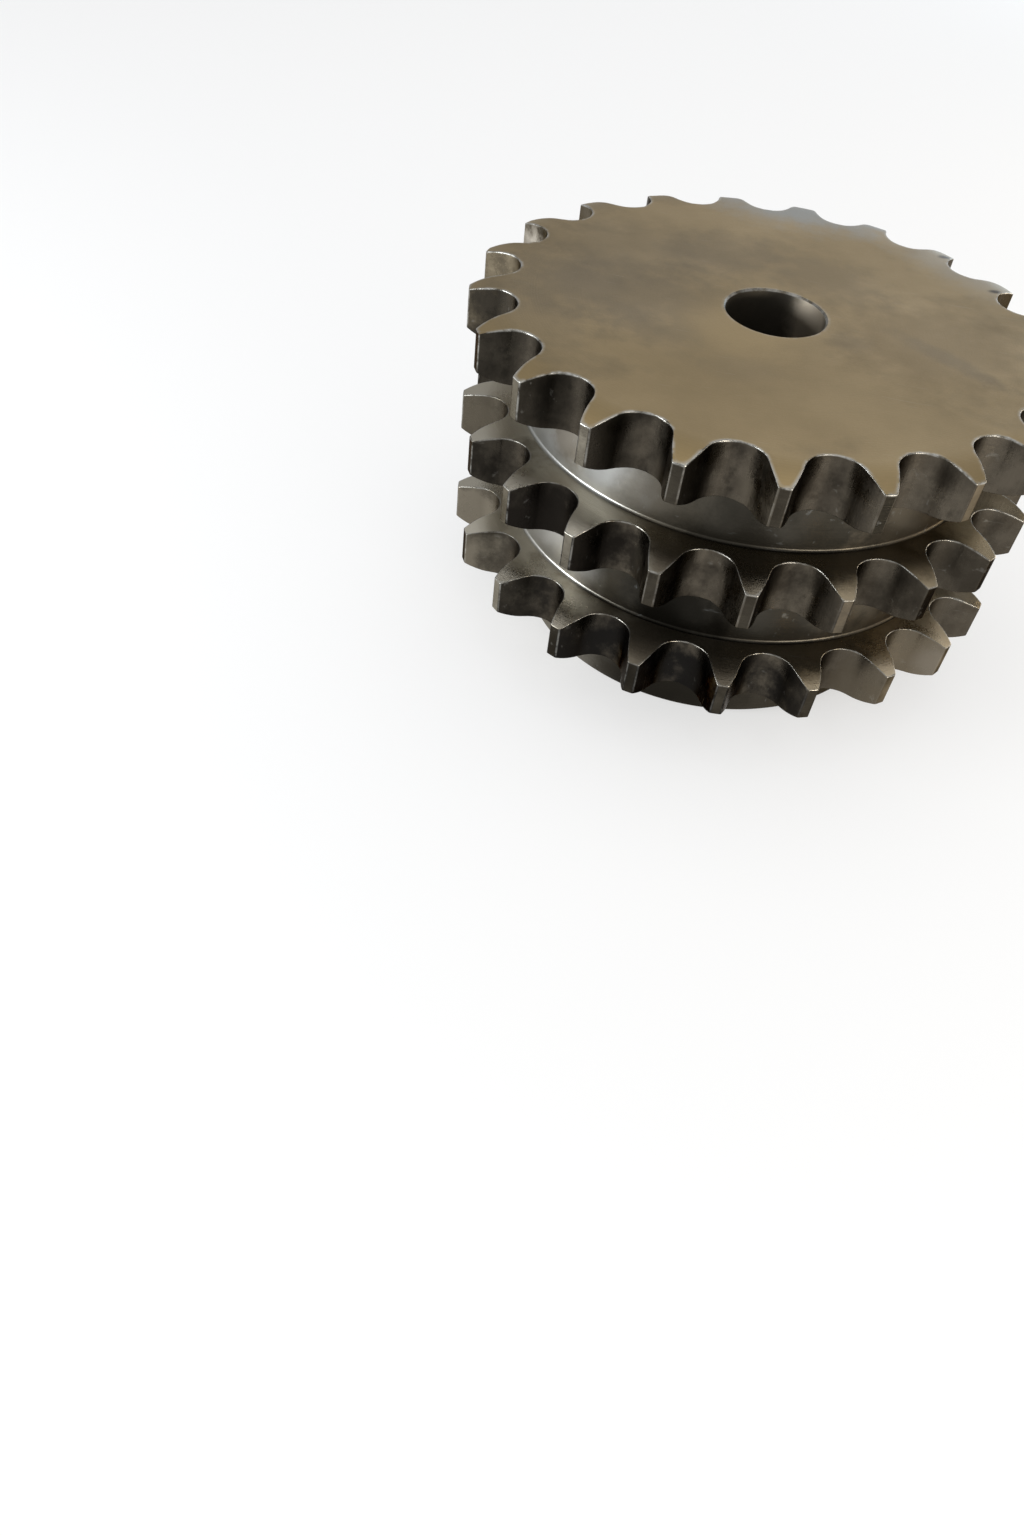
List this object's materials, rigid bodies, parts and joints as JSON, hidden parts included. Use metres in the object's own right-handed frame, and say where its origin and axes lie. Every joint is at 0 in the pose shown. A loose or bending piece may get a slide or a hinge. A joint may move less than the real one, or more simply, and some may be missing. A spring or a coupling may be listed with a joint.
{
  "type": "chain sprocket",
  "caption": "Triplex roller chain sprocket with grooves between its toothed rows, a hub on one side and a plain bore.",
  "frame": {"origin": "centre of the bore on the hub's end face, which the sprocket stands on", "axes": "+Z along the bore from the hub's end face towards the toothed rows, +X through the tip of one tooth"},
  "size_m": [0.1804, 0.181, 0.1],
  "materials": {
    "machined_steel": "turned and hobbed steel with an oil-darkened brown film, paler at the edges"
  },
  "bodies": {
    "root": {"triplex_sprocket": "machined_steel"}
  },
  "joints": []
}
